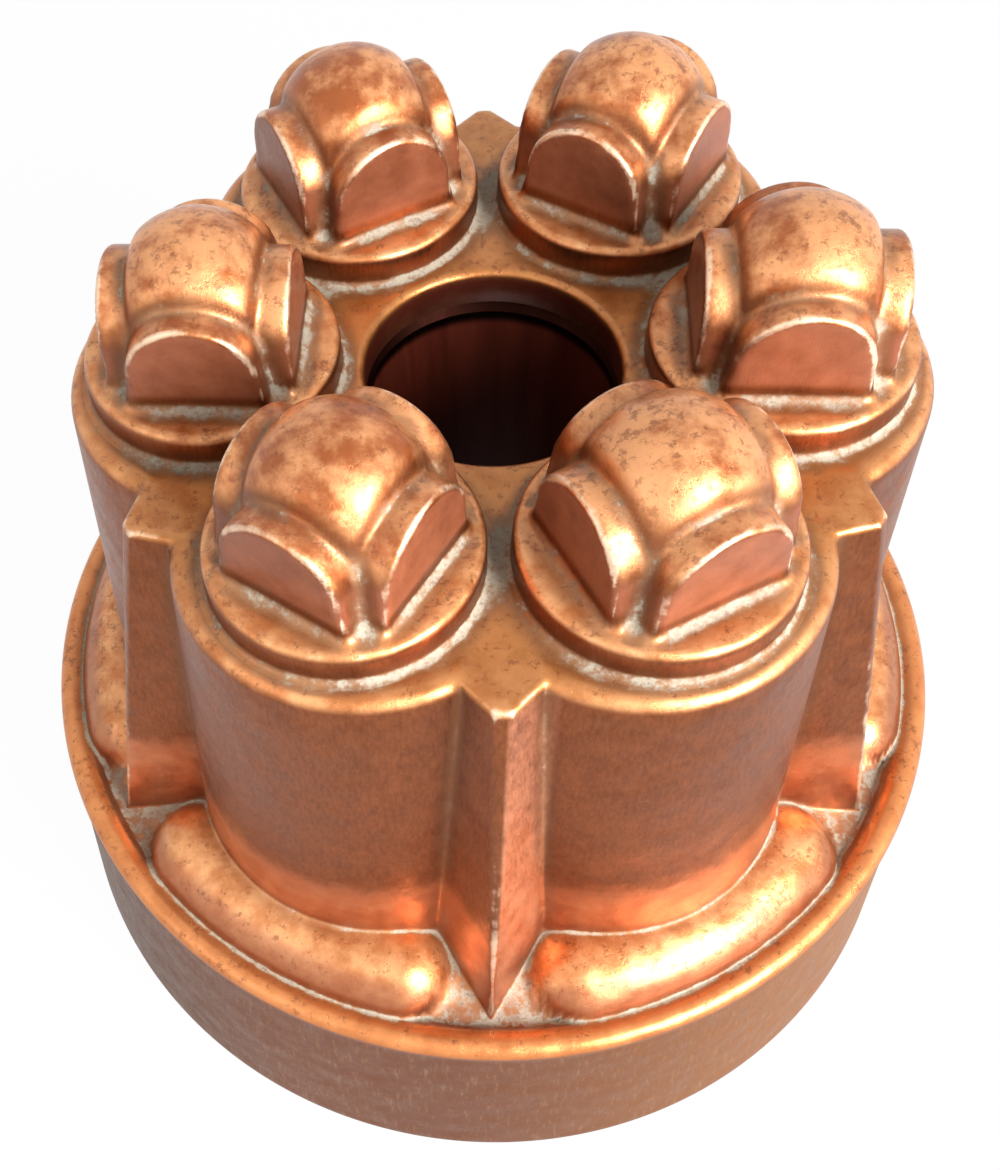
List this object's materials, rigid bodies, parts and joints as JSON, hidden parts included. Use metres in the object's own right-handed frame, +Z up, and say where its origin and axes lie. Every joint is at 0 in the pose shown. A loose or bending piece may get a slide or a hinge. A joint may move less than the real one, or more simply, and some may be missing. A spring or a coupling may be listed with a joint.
{
  "type": "jelly mould",
  "caption": "Round copper jelly mould with dormered domes on fluted lobes, a sloping ledge with swags, a plain flared band and a tapered centre tube.",
  "frame": {"origin": "middle of the open mouth, on the surface that the mould stands on", "axes": "+Z up along the centre tube, towards the domes; -Y is the front"},
  "size_m": [0.136, 0.136, 0.1136],
  "materials": {
    "copper": "old copper, polished by handling on the upper faces and brown on the walls",
    "dark_copper": "dark unpolished copper inside the tube"
  },
  "bodies": {
    "root": {"mould_body": "copper", "centre_tube": "dark_copper"}
  },
  "joints": []
}
